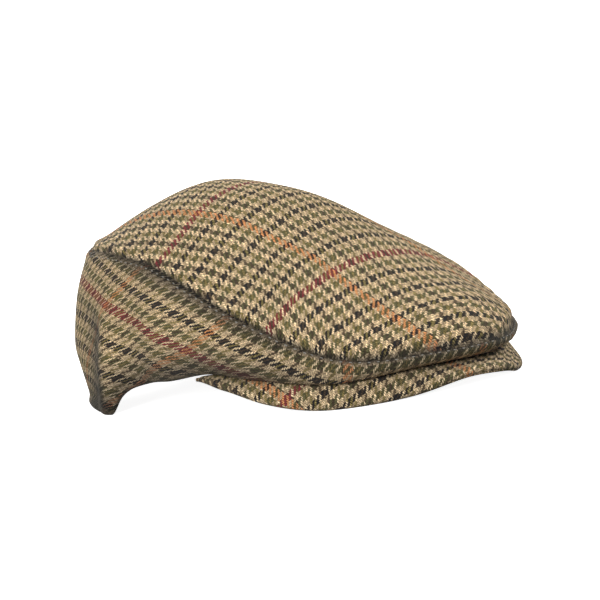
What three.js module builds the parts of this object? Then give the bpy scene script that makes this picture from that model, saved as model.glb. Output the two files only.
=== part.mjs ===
import * as THREE from "three";

// Flat cap resting by itself: on the hem behind and on the two drooping sides of the peak.
// Millimetres. The peak looks toward -Y, the wearer's left is +X, up is +Z, the floor is z = 0.

// ---- named sizes
const clothWall = 2.0;        // thickness of every cloth panel
const peakWall = 5.0;         // thickness of the stiff covered peak
const seamGap = 0.22;         // every panel stops this far short of a seam line
const pieceGap = 0.95;        // free space between the crown's tucked edge and the peak
const foldReach = 4.0;        // how much cloth the rounded lower fold takes up on each leg
const ridgeSoftness = 0.6;    // how rounded the ridge along the top is
const topMiddleY = 6;         // the top panel's rings close in on this point
const backSeamDraw = 2.6;     // the seam behind pulls the cloth in by this much
const backSeamWidth = 9;      // half width of that pulled-in strip
const peakEnd = 90;           // degrees from the front where the peak's corners are

// ---- mesh fineness
const around = 80, rings = 10, wallSteps = 7, foldSteps = 3, tuckSteps = 4;
const peakAcross = 40, peakSteps = 9, noseSteps = 4;

// Sections at angles from the front (0) to the back (180), the same on both sides of the cap.
// seamR, seamZ: seam between top and side panel; footR, footZ: lower fold of the side panel;
// swell: how far the side panel bulges at half height; openR: edge of the head opening;
// ridgeZ: height of the top's middle line level with this section's seam point.
const section = columns("angle seamR seamZ footR footZ swell openR ridgeZ", [
  [0, 129.4, 24.0, 124.0, 13.6, 2.2, 80.0, 24.0],
  [20, 120.6, 24.4, 117.4, 14.0, 2.2, 82.0, 42.4],
  [45, 115.6, 28.6, 109.8, 12.0, 2.2, 85.0, 57.4],
  [70, 106.5, 52.7, 98.0, 17.5, 2.5, 87.0, 82.6],
  [90, 98.1, 71.0, 91.8, 21.6, 2.3, 85.8, 107.6],
  [110, 95.7, 84.1, 93.8, 18.0, 2.3, 88.8, 117.0],
  [126, 101.2, 88.8, 103.0, 14.2, 3.0, 99.2, 118.7],
  [133, 104.9, 90.4, 117.4, 0.0, 2.4, 113.0, 116.6],
  [150, 117.4, 91.0, 129.2, 0.0, 9.0, 121.0, 104.6],
  [180, 125.4, 92.6, 128.6, 6.8, 12.6, 120.6, 92.6],
]);

// Flatness of the top from its ridge to the seam: 0 is a round arch, 1 nearly two flat slopes.
const roof = columns("angle slope", [
  [0, 0.02],
  [90, 0.8],
  [180, 0.48],
]);

// The peak from its right corner (-1) over its middle (0) to its left corner (1): edgeR, edgeZ
// its outer edge, riseIn how much higher its top is at the head opening than under the fold.
// Its left half hangs lower than its right one.
const peakShape = columns("share edgeR edgeZ riseIn", [
  [-1, 94.2, 20.2, 0.6],
  [-0.75, 105.5, 8.8, 3.5],
  [-0.52, 114.6, 1.4, 7.0],
  [-0.3, 121.5, 4.0, 8.0],
  [-0.12, 128.6, 10.4, 8.8],
  [0, 131.4, 8.0, 9.0],
  [0.12, 127.6, 2.6, 8.8],
  [0.3, 119.2, 1.6, 8.0],
  [0.52, 113.8, 1.4, 7.0],
  [0.75, 105.5, 8.8, 3.5],
  [1, 94.2, 20.2, 0.6],
]);

function columns(names, rows) {
  const table = { rows };
  names.split(" ").forEach((name, i) => { table[name] = rows.map((row) => row[i]); });
  return table;
}

// Smooth value of one column at x; held level at both ends, never overshooting when firm.
function along(keys, values, x, firm = false, openEnd = false) {
  const last = keys.length - 1;
  let j = 0;
  while (j < last - 1 && x >= keys[j + 1]) j += 1;
  const rise = (i) => (values[i + 1] - values[i]) / (keys[i + 1] - keys[i]);
  const tangent = (i) => {
    if (i === 0) return openEnd ? rise(0) : 0;
    if (i === last) return openEnd ? rise(last - 1) : 0;
    const before = keys[i] - keys[i - 1], after = keys[i + 1] - keys[i];
    const m = (rise(i - 1) * after + rise(i) * before) / (before + after);
    if (!firm) return m;
    if (rise(i - 1) * rise(i) <= 0) return 0;
    return Math.sign(m) * Math.min(Math.abs(m), 3 * Math.abs(rise(i - 1)), 3 * Math.abs(rise(i)));
  };
  const h = keys[j + 1] - keys[j];
  const s = Math.min(Math.max((x - keys[j]) / h, 0), 1);
  return values[j] * (1 + 2 * s) * (1 - s) ** 2 + values[j + 1] * s * s * (3 - 2 * s)
    + h * (tangent(j) * s * (1 - s) ** 2 - tangent(j + 1) * s * s * (1 - s));
}

const of = (name, angle) => along(section.angle, section[name], angle, name === "footZ");
const rad = (degrees) => (degrees * Math.PI) / 180;
const unit = (v) => { const l = Math.hypot(...v); return v.map((c) => c / l); };
const mix = (a, b, s) => a.map((c, i) => c * (1 - s) + b[i] * s);
const plus = (a, b, s = 1) => a.map((c, i) => c + b[i] * s);
const minus = (a, b) => a.map((c, i) => c - b[i]);
const cross = (a, b) => [a[1] * b[2] - a[2] * b[1], a[2] * b[0] - a[0] * b[2], a[0] * b[1] - a[1] * b[0]];
const turned = (r, angle, z) => [r * Math.sin(rad(angle)), -r * Math.cos(rad(angle)), z];

// ---- top panel: a height over its plan
const stations = Array.from({ length: 361 }, (_, i) => {
  const angle = i / 2;
  const [x, y] = turned(of("seamR", angle), angle, 0);
  return { angle, x, y };
});

function topHeight(x, y) {
  let i = 0;
  while (i < 359 && stations[i + 1].y < y) i += 1;
  const a = stations[i], b = stations[i + 1];
  const s = Math.min(Math.max((y - a.y) / (b.y - a.y), 0), 1);
  const angle = a.angle + s * (b.angle - a.angle);
  const half = Math.max(a.x + s * (b.x - a.x), 0.5);
  const u = Math.min(Math.abs(x) / half, 1);
  const slope = along(roof.angle, roof.slope, angle);
  const e = ridgeSoftness;
  const ramp = 1 - (Math.hypot(u, e) - e) / (Math.hypot(1, e) - e);
  const seam = of("seamZ", angle);
  return seam + (of("ridgeZ", angle) - seam) * ((1 - slope) * (1 - u * u) + slope * ramp);
}

function topPoint(angle, share) {
  const side = Math.sign(angle) || 1;
  const [sx, sy] = turned(of("seamR", Math.abs(angle)), Math.abs(angle), 0);
  const x = side * sx * share, y = topMiddleY + (sy - topMiddleY) * share;
  const z = share > 0.999 ? of("seamZ", Math.abs(angle)) : topHeight(x, y);
  return [x, y, z];
}

function topNormal(angle, share) {
  const [x, y] = topPoint(angle, Math.min(share, 0.955));
  const d = 1.5;
  const gx = (topHeight(x + d, y) - topHeight(x - d, y)) / (2 * d);
  const gy = (topHeight(x, y + d) - topHeight(x, y - d)) / (2 * d);
  return unit([-gx, -gy, 1]);
}

// ---- side panel: a profile in the upright plane at every angle, for the side with x > 0
function pulledIn(angle) {
  const x = of("footR", angle) * Math.sin(rad(angle));
  return angle > 90 ? backSeamDraw * Math.exp(-((x / backSeamWidth) ** 2)) : 0;
}

function wall(angle, share) {
  const r = of("seamR", angle) * (1 - share) + of("footR", angle) * share;
  const z = of("seamZ", angle) * (1 - share) + of("footZ", angle) * share;
  const bulge = (of("swell", angle) - pulledIn(angle)) * 4 * share * (1 - share);
  return [r + bulge, z];
}

function peakTop(signed, r) {
  const share = Math.max(Math.min(signed / peakEnd, 1), -1), angle = Math.abs(signed);
  const edgeR = along(peakShape.share, peakShape.edgeR, share, true, true);
  const edgeZ = along(peakShape.share, peakShape.edgeZ, share, true, true);
  const riseIn = along(peakShape.share, peakShape.riseIn, share, true, true);
  const foldR = Math.min(of("footR", angle) - 2, edgeR - 2.2);
  const foldZ = of("footZ", angle) - pieceGap;
  const inR = of("openR", angle);
  return along([inR - 1e-6, foldR, Math.max(edgeR, r)], [foldZ + riseIn, foldZ, edgeZ], r, true, true);
}

function tuckZ(angle, r) {
  const onPeak = Math.max(peakTop(angle, r), peakTop(-angle, r)) + pieceGap;
  const s = Math.min(Math.max((angle - peakEnd - 1) / 8, 0), 1);
  const fade = s * s * (3 - 2 * s);
  return onPeak * (1 - fade) + of("footZ", angle) * fade;
}

function sideProfile(angle) {
  const footR = of("footR", angle), footZ = of("footZ", angle), openR = of("openR", angle);
  const height = of("seamZ", angle) - footZ;
  const stop = 1 - foldReach / Math.max(height, 8);
  const points = [];
  for (let i = 0; i <= wallSteps; i += 1) points.push(wall(angle, (stop * i) / wallSteps));
  const leg = Math.min(foldReach, footR - openR - 0.8);
  const from = wall(angle, stop), to = [footR - leg, tuckZ(angle, footR - leg)], corner = [footR, footZ];
  for (let i = 1; i <= foldSteps; i += 1) {
    const s = i / foldSteps;
    points.push(mix(mix(from, corner, s), mix(corner, to, s), s));
  }
  for (let i = 1; i <= tuckSteps; i += 1) {
    const r = to[0] + ((openR - to[0]) * i) / tuckSteps;
    points.push([r, tuckZ(angle, r)]);
  }
  return points;
}

// ---- closed meshes
function solid(name, grid, capFirst, capLast, colour) {
  // grid[i][j]: ring j of a closed cross-section at step i; ends closed by fans
  const positions = [], index = [], n = grid[0].length;
  grid.forEach((ring) => ring.forEach((p) => positions.push(...p)));
  for (let i = 0; i + 1 < grid.length; i += 1) {
    for (let j = 0; j < n; j += 1) {
      const a = i * n + j, b = i * n + ((j + 1) % n), c = a + n, d = b + n;
      index.push(a, c, b, b, c, d);
    }
  }
  capFirst.forEach((tri) => index.push(tri[0], tri[1], tri[2]));
  const base = (grid.length - 1) * n;
  capLast.forEach((tri) => index.push(base + tri[0], base + tri[2], base + tri[1]));
  return finish(name, positions, index, colour);
}

function finish(name, positions, index, colour) {
  const geometry = new THREE.BufferGeometry();
  geometry.setAttribute("position", new THREE.Float32BufferAttribute(positions, 3));
  let volume = 0;
  for (let i = 0; i < index.length; i += 3) {
    const [a, b, c] = [0, 1, 2].map((k) => positions.slice(index[i + k] * 3, index[i + k] * 3 + 3));
    const n = cross(b, c);
    volume += a[0] * n[0] + a[1] * n[1] + a[2] * n[2];
  }
  if (volume < 0) for (let i = 0; i < index.length; i += 3) [index[i], index[i + 1]] = [index[i + 1], index[i]];
  geometry.setIndex(index);
  geometry.computeVertexNormals();
  const material = new THREE.MeshStandardMaterial({ color: colour, roughness: 0.95, metalness: 0 });
  const mesh = new THREE.Mesh(geometry, material);
  mesh.name = name;
  return mesh;
}

// Common inward direction at the seam, so that the top's and the side's edges lie on one mitre.
function mitre(angle) {
  const up = topNormal(angle, 1);
  const out = sideNormal(angle);
  const half = unit(plus(up, out));
  const cosine = Math.max(half[0] * up[0] + half[1] * up[1] + half[2] * up[2], 0.55);
  return half.map((c) => (-c * clothWall) / cosine);
}

function sideNormal(angle) {
  const d = 1;
  const [r0, z0] = wall(angle, 0), [r1, z1] = wall(angle, 0.06);
  const down = minus(turned(r1, angle, z1), turned(r0, angle, z0));
  const low = Math.max(angle - d, 0), high = Math.min(angle + d, 180);
  const alongSeam = minus(turned(of("seamR", high), high, of("seamZ", high)),
    turned(of("seamR", low), low, of("seamZ", low)));
  const n = unit(cross(down, alongSeam));
  if (angle < 0.01 || angle > 179.99) n[0] = 0;
  return unit(n);
}

const mirrored = (p, side) => [p[0] * side, p[1], p[2]];

function crownTop() {
  const outer = [], inner = [];
  const angles = Array.from({ length: around }, (_, i) => -180 + (360 * i) / around);
  for (let k = 1; k <= rings; k += 1) {
    const share = 1 - (1 - k / rings) ** 1.25;
    for (const angle of angles) {
      if (k < rings) {
        const p = topPoint(angle, share);
        outer.push(p);
        inner.push(plus(p, topNormal(angle, share), -clothWall));
      } else {
        const seam = topPoint(angle, 1);
        const inward = unit(minus(topPoint(angle, 0.97), seam));
        const m = mirrored(mitre(Math.abs(angle)), Math.sign(angle) || 1);
        const p = plus(seam, inward, seamGap);
        outer.push(p);
        inner.push(plus(p, m));
      }
    }
  }
  const middle = [0, topMiddleY, topHeight(0, topMiddleY)];
  const positions = [], index = [];
  const all = [middle, ...outer, plus(middle, [0, 0, -clothWall]), ...inner];
  all.forEach((p) => positions.push(...p));
  const shift = 1 + outer.length;
  for (const [base, flip] of [[0, false], [shift, true]]) {
    const tri = (a, b, c) => (flip ? index.push(a, c, b) : index.push(a, b, c));
    for (let j = 0; j < around; j += 1) {
      const q = (j + 1) % around;
      tri(base, base + 1 + j, base + 1 + q);
      for (let k = 0; k + 1 < rings; k += 1) {
        const a = base + 1 + k * around + j, b = base + 1 + k * around + q;
        tri(a, a + around, b);
        tri(b, a + around, b + around);
      }
    }
  }
  const edge = 1 + (rings - 1) * around;
  for (let j = 0; j < around; j += 1) {
    const q = (j + 1) % around;
    index.push(edge + j, shift + edge + j, edge + q, edge + q, shift + edge + j, shift + edge + q);
  }
  return finish("crown_top", positions, index, 0x8a7f5a);
}

function sidePanel(name, side) {
  const steps = around / 2;
  const angles = Array.from({ length: steps + 1 }, (_, i) => (180 * i) / steps);
  const skin = angles.map((angle) => sideProfile(angle).map(([r, z]) => turned(r, angle, z)));
  const grid = angles.map((angle, i) => {
    const outer = [], inner = [];
    const n = skin[i].length;
    for (let j = 0; j < n; j += 1) {
      const p = skin[i][j].slice();
      const before = skin[Math.max(i - 1, 0)][j], after = skin[Math.min(i + 1, steps)][j];
      const alongRow = minus(after, before);
      const downCol = minus(skin[i][Math.min(j + 1, n - 1)], skin[i][Math.max(j - 1, 0)]);
      const normal = cross(downCol, alongRow);
      if (i === 0 || i === steps) normal[0] = 0;
      const away = unit(normal);
      let q = plus(p, away, -clothWall);
      if (j === 0) {
        const down = unit(minus(skin[i][1], skin[i][0]));
        for (let c = 0; c < 3; c += 1) p[c] += down[c] * seamGap;
        q = plus(p, mitre(angle));
      }
      if (i === 0 || i === steps) { p[0] = 0; q[0] = 0; }
      p[0] = Math.max(p[0], seamGap * 0.7);
      q[0] = Math.max(q[0], seamGap * 0.7);
      outer.push(mirrored(p, side));
      inner.push(mirrored(q, side));
    }
    return [...outer, ...inner.reverse()];
  });
  const n = grid[0].length, cap = [];
  for (let j = 0; j + 1 < n / 2; j += 1) {
    const a = j, b = j + 1, c = n - 1 - j, d = n - 2 - j;
    cap.push([a, b, c], [b, d, c]);
  }
  return solid(name, grid, cap, cap, 0x857a56);
}

function peakPiece() {
  const grid = [];
  for (let i = 0; i <= peakAcross; i += 1) {
    const across = -1 + (2 * i) / peakAcross;
    const angle = Math.abs(across) * peakEnd;
    const side = across < 0 ? -1 : 1, signed = across * peakEnd;
    const edgeR = along(peakShape.share, peakShape.edgeR, across, true, true);
    const inR = of("openR", angle) + 0.4;
    const half = peakWall / 2, endR = edgeR - half * 0.75;
    const middle = [];
    for (let k = 0; k <= peakSteps; k += 1) {
      const r = inR + ((endR - inR) * k) / peakSteps;
      const z = peakTop(signed, r), d = 0.5;
      const slope = (peakTop(signed, Math.min(r + d, edgeR)) - peakTop(signed, Math.max(r - d, inR)))
        / (Math.min(r + d, edgeR) - Math.max(r - d, inR));
      const n = unit([-slope, 1]);
      middle.push({ r: r - n[0] * half, z: z - n[1] * half, n });
    }
    const ring = [];
    middle.forEach(({ r, z, n }) => ring.push([r + n[0] * half, z + n[1] * half]));
    const tip = middle[peakSteps];
    for (let k = 1; k < noseSteps; k += 1) {
      const a = (Math.PI * k) / noseSteps;
      const c = Math.cos(a) * half, s = Math.sin(a) * half;
      ring.push([tip.r + tip.n[0] * c + tip.n[1] * s, tip.z + tip.n[1] * c - tip.n[0] * s]);
    }
    middle.slice().reverse().forEach(({ r, z, n }) => ring.push([r - n[0] * half, z - n[1] * half]));
    grid.push(ring.map(([r, z]) => mirrored(turned(r, angle, Math.max(z, 0)), side)));
  }
  const n = grid[0].length, cap = [];
  for (let j = 1; j + 1 < n; j += 1) cap.push([0, j, j + 1]);
  return solid("peak", grid, cap, cap, 0x7d7350);
}

const group = new THREE.Group();
group.name = "flat_cap";
const pieces = [crownTop(), sidePanel("side_left", 1), sidePanel("side_right", -1), peakPiece()];

// The origin sits under the middle of the whole cap.
const reach = new THREE.Box3();
pieces.forEach((mesh) => reach.expandByObject(mesh));
const back = -(reach.min.y + reach.max.y) / 2, down = -reach.min.z;
pieces.forEach((mesh) => {
  mesh.geometry.translate(0, back, down);
  mesh.geometry.computeBoundingBox();
  group.add(mesh);
});

export default group;
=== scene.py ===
"""Woollen tweed flat cap, resting by itself: cloth panels, covered peak and topstitching."""
import math

import bmesh
import bpy
import numpy as np
from mathutils import Matrix, Vector


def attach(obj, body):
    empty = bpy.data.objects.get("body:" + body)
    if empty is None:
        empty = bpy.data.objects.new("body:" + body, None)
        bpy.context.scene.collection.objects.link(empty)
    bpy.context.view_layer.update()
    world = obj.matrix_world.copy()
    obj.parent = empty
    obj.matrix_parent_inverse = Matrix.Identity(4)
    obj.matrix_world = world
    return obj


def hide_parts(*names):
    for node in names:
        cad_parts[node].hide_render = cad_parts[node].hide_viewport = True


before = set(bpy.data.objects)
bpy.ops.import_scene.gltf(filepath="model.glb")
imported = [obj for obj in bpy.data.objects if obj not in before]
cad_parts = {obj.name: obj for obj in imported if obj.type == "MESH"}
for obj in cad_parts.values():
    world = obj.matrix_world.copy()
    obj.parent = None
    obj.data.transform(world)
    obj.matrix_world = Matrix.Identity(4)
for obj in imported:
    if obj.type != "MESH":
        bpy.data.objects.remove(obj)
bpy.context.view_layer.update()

# Sizes in millimetres, as in the part. The section tables are measured from the head's middle,
# which lies this far in front of the part's origin.
MM = 0.001
HEAD_MIDDLE_Y = -3.8735

CLOTH_WALL = 2.0       # thickness of a cloth panel
PEAK_WALL = 5.0        # thickness of the covered peak
PIECE_GAP = 0.95       # free space between the tucked edge and the peak
FOLD_REACH = 4.0       # cloth taken up by the rounded lower fold on each leg
LEAST_TUCK = 0.8       # at least this much of the tucked edge lies beyond the fold
RIDGE_SOFTNESS = 0.6   # how rounded the ridge along the top is
TOP_MIDDLE_Y = 6.0     # the top panel's rings close in on this point
PEAK_END = 96.0        # degrees from the front where the peak's corners are hidden
TUCK_LEAVES_PEAK = (PEAK_END + 1, PEAK_END + 9)    # degrees where the tucked edge leaves it
CREASE_FROM_FOOT = 2.0     # the peak's crease lies this far inside the side panels' foot
CREASE_FROM_EDGE = 2.2     # and at least this far inside the peak's own edge
SWELL_LOW = 1.3        # above 1, the side panel swells most a little below its middle
SWELL_BEHIND = 0.95    # and behind a little above it
SWELL_CHANGES = (128, 145)     # degrees between which the one gives way to the other
BACK_SEAM_DRAW = 2.6   # the seam behind pulls the cloth in by this much
BACK_SEAM_WIDTH = 9.0  # half width of that pulled-in strip

# Angle from the front (0) to the back (180), the same on both sides of the cap.
SECTION_COLUMNS = "angle seam_r seam_z foot_r foot_z swell open_r ridge_z"
SECTION_ROWS = (
    (0, 129.4, 24.0, 121.0, 13.6, 2.4, 80.0, 24.0),
    (20, 120.6, 24.4, 114.8, 14.0, 2.4, 82.0, 42.4),
    (45, 115.6, 28.6, 109.8, 12.0, 2.6, 85.0, 57.4),
    (70, 106.5, 52.7, 98.0, 17.5, 5.2, 87.0, 82.6),
    (90, 98.1, 71.0, 91.8, 21.6, 7.0, 85.8, 107.6),
    (110, 95.7, 84.1, 93.8, 18.0, 6.4, 88.8, 117.0),
    (126, 101.2, 88.8, 104.6, 14.6, 4.6, 102.2, 118.7),
    (129, 102.7, 89.5, 112.0, 9.6, 3.8, 109.8, 118.0),
    (131.5, 104.0, 90.1, 118.4, 0.0, 3.2, 116.2, 117.2),
    (138, 108.4, 90.9, 123.2, 0.0, 3.8, 119.6, 113.7),
    (150, 117.4, 91.0, 130.6, 0.8, 9.0, 123.0, 104.6),
    (180, 125.4, 92.6, 128.6, 6.8, 12.6, 120.6, 92.6),
)
# Flatness of the top from ridge to seam: 0 is a round arch, 1 nearly two flat slopes.
ROOF_COLUMNS = "angle slope"
ROOF_ROWS = ((0, 0.02), (90, 0.8), (180, 0.48))
# The peak from its right corner over its middle (0) to its left corner.
PEAK_COLUMNS = "degrees edge_r edge_z rise_in"
PEAK_ROWS = (
    (-96, 90.6, 20.4, 0.4),
    (-90, 93.6, 20.4, 0.8),
    (-81, 98.2, 18.0, 1.8),
    (-67.5, 105.5, 8.8, 3.5),
    (-46.8, 114.6, 1.4, 7.0),
    (-27, 121.5, 4.0, 8.0),
    (-10.8, 128.6, 10.4, 8.8),
    (0, 131.4, 8.0, 9.0),
    (10.8, 127.6, 2.6, 8.8),
    (27, 119.2, 1.6, 8.0),
    (46.8, 113.8, 1.4, 7.0),
    (67.5, 105.5, 8.8, 3.5),
    (81, 98.2, 18.0, 1.8),
    (90, 93.6, 20.4, 0.8),
    (96, 90.6, 20.4, 0.4),
)
# The cloth's front-to-back lines on the top: where its rust line runs.
GRAIN_COLUMNS = "y rust_x"
GRAIN_ROWS = (
    (-128, -34.0), (-113, -37.7), (-104, -41.5), (-90, -41.5), (-77, -40.5), (-64, -39.0),
    (-54, -37.5), (-47, -35.3), (-38, -34.8), (-30, -36.3), (-16, -40.0), (-3, -42.5),
    (9, -45.0), (30, -46.0), (125, -41.0),
)
# The cloth's crosswise lines, one for each repeat: their y at five places from the cap's right
# to just left of its middle. Line 0 and line 6 are dark red.
CROSS_X = (-75, -50, -30, -10, 5)
CROSS_COLUMNS = "line right near_right between near_middle middle"
CROSS_ROWS = (
    (-7, -121, -127, -135, -143, -148),
    (-6, -112, -119, -127, -135, -140),
    (-5, -103, -111, -118.5, -127, -132),
    (-4, -94, -102.5, -110, -118, -123.5),
    (-3, -83.5, -92, -98, -107, -112),
    (-2, -72.7, -80, -83, -88, -94),
    (-1, -60.8, -65.7, -68.4, -71, -75),
    (0, -49.1, -51, -53, -54.5, -56),
    (1, -38.3, -38.2, -38.3, -38.8, -39),
    (2, -26.8, -25.6, -24.8, -24.6, -24.3),
    (3, -14.2, -13.3, -12.9, -12.1, -11.8),
    (4, 0.2, 0.2, 0.4, -0.3, -0.2),
    (5, 13.6, 14, 14.5, 13.8, 13),
    (6, 26, 28.6, 29.2, 28.7, 28),
    (7, 41.3, 45, 43.5, 42, 41),
    (8, 57.5, 61, 58.5, 55.5, 54),
    (9, 73.5, 76.5, 73.5, 69.5, 68),
    (10, 89.5, 92, 89, 84, 82.5),
    (11, 105, 107, 104, 99, 97),
    (12, 120, 121, 118, 113.5, 111.5),
    (13, 135, 135, 132, 128, 126),
)
# The side panel's grain, by distance along the seam from the front: depth of its dark red line
# below the seam, front-to-back threads counted along the seam, and how far the lines of these
# threads lean back for each mm of depth.
LEAN_COLUMNS = "along red_depth threads lean"
LEAN_ROWS = (
    (0, 32.0, -20, 0.0),
    (94, 35.0, 94, 0.05),
    (130, 35.5, 145, 0.55),
    (161, 36.0, 190, 0.93),
    (198, 37.3, 239, 1.05),
    (224, 39.0, 274, 1.20),
    (245, 35.3, 303, 1.30),
    (258, 32.7, 320, 1.30),
    (270, 29.3, 335, 1.25),
    (300, 20.0, 372, 1.0),
    (338, 16.0, 419, 0.4),
    (372, 16.0, 461, 0.0),
)
REPEAT = 16            # threads in one repeat: cream, olive, cream and dark, four of each
LINE_EVERY = 96        # threads from one rust or dark red line to the next of its kind
LINE_PLACE = LINE_EVERY - 2    # thread count amid the dark yarns that a line replaces
RUST_YARNS = 6         # yarns in a rust line
RED_YARNS = 5          # yarns in a dark red line
TOP_REPEAT_RIGHT = 14.2    # mm across the top for one repeat, right of the rust line
TOP_REPEAT_LEFT = 14.6     # and left of it
SIDE_REPEAT_DEPTH = 18.8   # mm down the side panel for one repeat


def columns(names, rows):
    """A table as a dictionary of its named columns."""
    return dict(zip(names.split(), np.array(rows, float).T))


SECTION = columns(SECTION_COLUMNS, SECTION_ROWS)
ROOF = columns(ROOF_COLUMNS, ROOF_ROWS)
PEAK = columns(PEAK_COLUMNS, PEAK_ROWS)
GRAIN = columns(GRAIN_COLUMNS, GRAIN_ROWS)
CROSS = columns(CROSS_COLUMNS, CROSS_ROWS)
LEAN = columns(LEAN_COLUMNS, LEAN_ROWS)
HALF_DEGREES = np.arange(0, 361) / 2   # from the front to the back


def middle_slope(before, after, slope_before, slope_after, firm):
    """Slope at a key, from the steps on both sides of it; when firm, it never overshoots."""
    slope = (slope_before * after + slope_after * before) / (before + after)
    if not firm:
        return slope
    limit = 3 * np.minimum(np.abs(slope_before), np.abs(slope_after))
    turns_back = slope_before * slope_after <= 0
    return np.where(turns_back, 0, np.sign(slope) * np.minimum(np.abs(slope), limit))


def eased(start, end, start_slope, end_slope, step, share):
    """The value at this share of a step from start to end, with these slopes at its ends."""
    s = np.clip(share, 0, 1)
    level = start * (1 + 2 * s) * (1 - s) ** 2 + end * s * s * (3 - 2 * s)
    return level + step * (start_slope * s * (1 - s) ** 2 - end_slope * s * s * (1 - s))


def along(keys, values, x, firm=False, open_end=False):
    """Smooth value at x; level at both ends unless open, never overshooting when firm."""
    last = len(keys) - 1
    steps = np.diff(keys)
    slopes = np.diff(values) / steps
    tangent = np.zeros(len(keys))
    tangent[1:last] = middle_slope(steps[:-1], steps[1:], slopes[:-1], slopes[1:], firm)
    if open_end:
        tangent[0], tangent[last] = slopes[0], slopes[-1]
    x = np.asarray(x, float)
    j = np.clip(np.searchsorted(keys, x, side="right") - 1, 0, last - 1)
    share = (x - keys[j]) / steps[j]
    return eased(values[j], values[j + 1], tangent[j], tangent[j + 1], steps[j], share)


def section(name, angle):
    """The section table's value at an angle from the front."""
    return along(SECTION["angle"], SECTION[name], np.abs(angle), name == "foot_z")


def smooth_rise(low, high, x):
    """0 below low, 1 above high, smooth between."""
    s = np.clip((x - low) / (high - low), 0, 1)
    return s * s * (3 - 2 * s)


def hump(middle, width, x):
    """1 at the middle, and falling smoothly to about a third at this distance from it."""
    return np.exp(-((x - middle) / width) ** 2)


def distances(points):
    """Distance travelled along a line of points, or along each row of a grid of them."""
    steps = np.linalg.norm(np.diff(points, axis=-2), axis=-1)
    start = np.zeros(steps.shape[:-1] + (1,))
    return np.concatenate([start, np.cumsum(steps, axis=-1)], axis=-1)


def ripple(seed, x, y, length):
    """Gentle uneven waves of about this length, from -1 to 1, the same every time."""
    draw = np.random.default_rng(seed)
    total = np.zeros(np.broadcast(x, y).shape)
    for _ in range(9):
        heading, phase = draw.uniform(0, 2 * math.pi, 2)
        wave = 2 * math.pi / (length * draw.uniform(0.7, 1.5))
        total += np.sin(wave * (x * math.cos(heading) + y * math.sin(heading)) + phase)
    return total / 4.5


# Top panel: a height over its plan
PLAN_X = section("seam_r", HALF_DEGREES) * np.sin(np.radians(HALF_DEGREES))
PLAN_Y = -section("seam_r", HALF_DEGREES) * np.cos(np.radians(HALF_DEGREES))


def top_height(x, y):
    """Height of the top panel over a point of its plan."""
    angle = np.interp(y, PLAN_Y, HALF_DEGREES)
    # the plan narrows to nothing at both ends, where half a millimetre is wide enough
    half = np.maximum(np.interp(y, PLAN_Y, PLAN_X), 0.5)
    u = np.minimum(np.abs(x) / half, 1)
    slope = along(ROOF["angle"], ROOF["slope"], angle)
    soft = RIDGE_SOFTNESS
    ramp = 1 - (np.hypot(u, soft) - soft) / (math.hypot(1, soft) - soft)
    seam_z = section("seam_z", angle)
    rise = section("ridge_z", angle) - seam_z
    return seam_z + rise * ((1 - slope) * (1 - u * u) + slope * ramp)


def top_surface(angle, share):
    """Points of the top panel, and how far each is from the seam."""
    angle_size = np.abs(angle)
    side = np.where(angle < 0, -1.0, 1.0)
    r = section("seam_r", angle_size)
    seam_x = r * np.sin(np.radians(angle_size))
    seam_y = -r * np.cos(np.radians(angle_size))
    x = side * seam_x * share
    y = TOP_MIDDLE_Y + (seam_y - TOP_MIDDLE_Y) * share
    z = np.where(share > 0.999, section("seam_z", angle_size), top_height(x, y))
    from_seam = (1 - share) * np.hypot(seam_x, seam_y - TOP_MIDDLE_Y)
    return np.stack([x, y, z], -1), from_seam


def top_grain(points):
    """Thread counts of the cloth at points of the top: across the cap and along it."""
    x, y = points[..., 0], points[..., 1]
    from_rust = x - np.interp(y, GRAIN["y"], GRAIN["rust_x"])
    width = np.where(from_rust < 0, TOP_REPEAT_RIGHT, TOP_REPEAT_LEFT)
    places = np.stack([CROSS[k] for k in CROSS_COLUMNS.split()[1:]])
    lines = np.stack([np.interp(x, CROSS_X, places[:, k]) for k in range(len(CROSS_ROWS))])
    line = np.full(x.shape, CROSS["line"][0])
    for k in range(len(CROSS_ROWS) - 1):
        line += np.clip((y - lines[k]) / (lines[k + 1] - lines[k]), 0, 1)
    return from_rust / width * REPEAT + LINE_PLACE, line * REPEAT + LINE_PLACE


# Side panel: a profile in the upright plane at every angle
SIDE_COLUMNS = 300     # faces along a side panel, from its front end to its back end
WALL_ROWS, FOLD_ROWS, TUCK_ROWS = 52, 12, 10   # and down its wall, lower fold and tuck
SIDE_ROWS = WALL_ROWS + FOLD_ROWS + TUCK_ROWS


def side_wall(angle, share):
    """Radius and height of a side panel's wall at this share of the way from seam to foot."""
    angle_size = np.abs(angle)
    foot_r = section("foot_r", angle_size)
    off_middle = foot_r * np.sin(np.radians(angle))
    behind = (angle_size > 90) * hump(0, BACK_SEAM_WIDTH, off_middle)
    swell = section("swell", angle_size) - BACK_SEAM_DRAW * behind
    r = section("seam_r", angle_size) * (1 - share) + foot_r * share
    z = section("seam_z", angle_size) * (1 - share) + section("foot_z", angle_size) * share
    change = smooth_rise(*SWELL_CHANGES, angle_size)
    low = share ** (SWELL_LOW + (SWELL_BEHIND - SWELL_LOW) * change)
    return r + swell * 4 * low * (1 - low), z


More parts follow.
